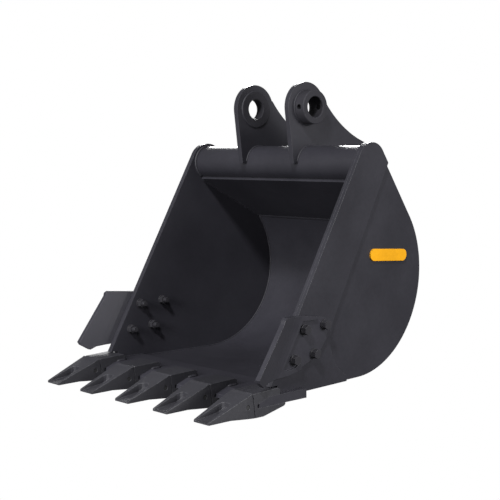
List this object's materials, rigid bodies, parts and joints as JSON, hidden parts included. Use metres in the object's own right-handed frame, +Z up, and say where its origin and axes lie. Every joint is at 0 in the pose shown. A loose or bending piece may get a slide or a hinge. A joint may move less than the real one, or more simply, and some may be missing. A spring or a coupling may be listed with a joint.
{
  "type": "excavator bucket",
  "caption": "Welded digging bucket for an excavator, with two pin ears, torque tube, curved wrapper, cast teeth on adapters and bolt-on side cutters.",
  "frame": {"origin": "axis of the stick pin, halfway across the bucket", "axes": "+X runs along the pin axes to the right-hand side, the mouth and teeth face -Y, the link pin is on +Y, +Z up as the bucket stands on its heel and adapters"},
  "size_m": [1.347, 1.5923, 1.366],
  "materials": {
    "body_paint": "satin charcoal paint over rolled and flame-cut steel plate",
    "edge_paint": "satin charcoal paint over hardened edge plate",
    "collar_paint": "satin charcoal paint over machined steel collars",
    "cast_paint": "charcoal-grey paint over cast alloy steel, slightly rough",
    "pin_steel": "hardened steel pin, bright end faces",
    "fastener_paint": "painted high-tensile bolts, washers and nuts",
    "yellow_paint": "gloss yellow paint on a blank raised plate"
  },
  "bodies": {
    "bucket": {"wrapper_shell": "body_paint", "inner_box_plate": "body_paint", "torque_tube": "body_paint", "lip_plate": "edge_paint", "side_plate_left": "body_paint", "side_plate_right": "body_paint", "side_bar_left": "body_paint", "side_bar_right": "body_paint", "ear_left": "body_paint", "ear_right": "body_paint", "stick_collar_left": "collar_paint", "stick_collar_right": "collar_paint", "link_collar_left": "collar_paint", "link_collar_right": "collar_paint", "adapter_1": "cast_paint", "adapter_2": "cast_paint", "adapter_3": "cast_paint", "adapter_4": "cast_paint", "adapter_5": "cast_paint", "tooth_1": "cast_paint", "tooth_2": "cast_paint", "tooth_3": "cast_paint", "tooth_4": "cast_paint", "tooth_5": "cast_paint", "side_cutter_left": "edge_paint", "side_cutter_right": "edge_paint", "cutter_bolts_left": "fastener_paint", "cutter_bolts_right": "fastener_paint", "cutter_washers_left": "fastener_paint", "cutter_washers_right": "fastener_paint", "cutter_nuts_left": "fastener_paint", "cutter_nuts_right": "fastener_paint", "name_plate": "yellow_paint"},
    "lock_pin_1": {"lock_pin_1": "pin_steel"},
    "lock_pin_2": {"lock_pin_2": "pin_steel"},
    "lock_pin_3": {"lock_pin_3": "pin_steel"},
    "lock_pin_4": {"lock_pin_4": "pin_steel"},
    "lock_pin_5": {"lock_pin_5": "pin_steel"}
  },
  "joints": [
    {"name": "lock_pin_1_drive_out", "type": "slide", "parent": "bucket", "child": "lock_pin_1", "axis": [1, 0, 0], "range_m": [0, 0.135]},
    {"name": "lock_pin_2_drive_out", "type": "slide", "parent": "bucket", "child": "lock_pin_2", "axis": [1, 0, 0], "range_m": [0, 0.135]},
    {"name": "lock_pin_3_drive_out", "type": "slide", "parent": "bucket", "child": "lock_pin_3", "axis": [1, 0, 0], "range_m": [0, 0.135]},
    {"name": "lock_pin_4_drive_out", "type": "slide", "parent": "bucket", "child": "lock_pin_4", "axis": [1, 0, 0], "range_m": [0, 0.135]},
    {"name": "lock_pin_5_drive_out", "type": "slide", "parent": "bucket", "child": "lock_pin_5", "axis": [1, 0, 0], "range_m": [0, 0.135]}
  ]
}
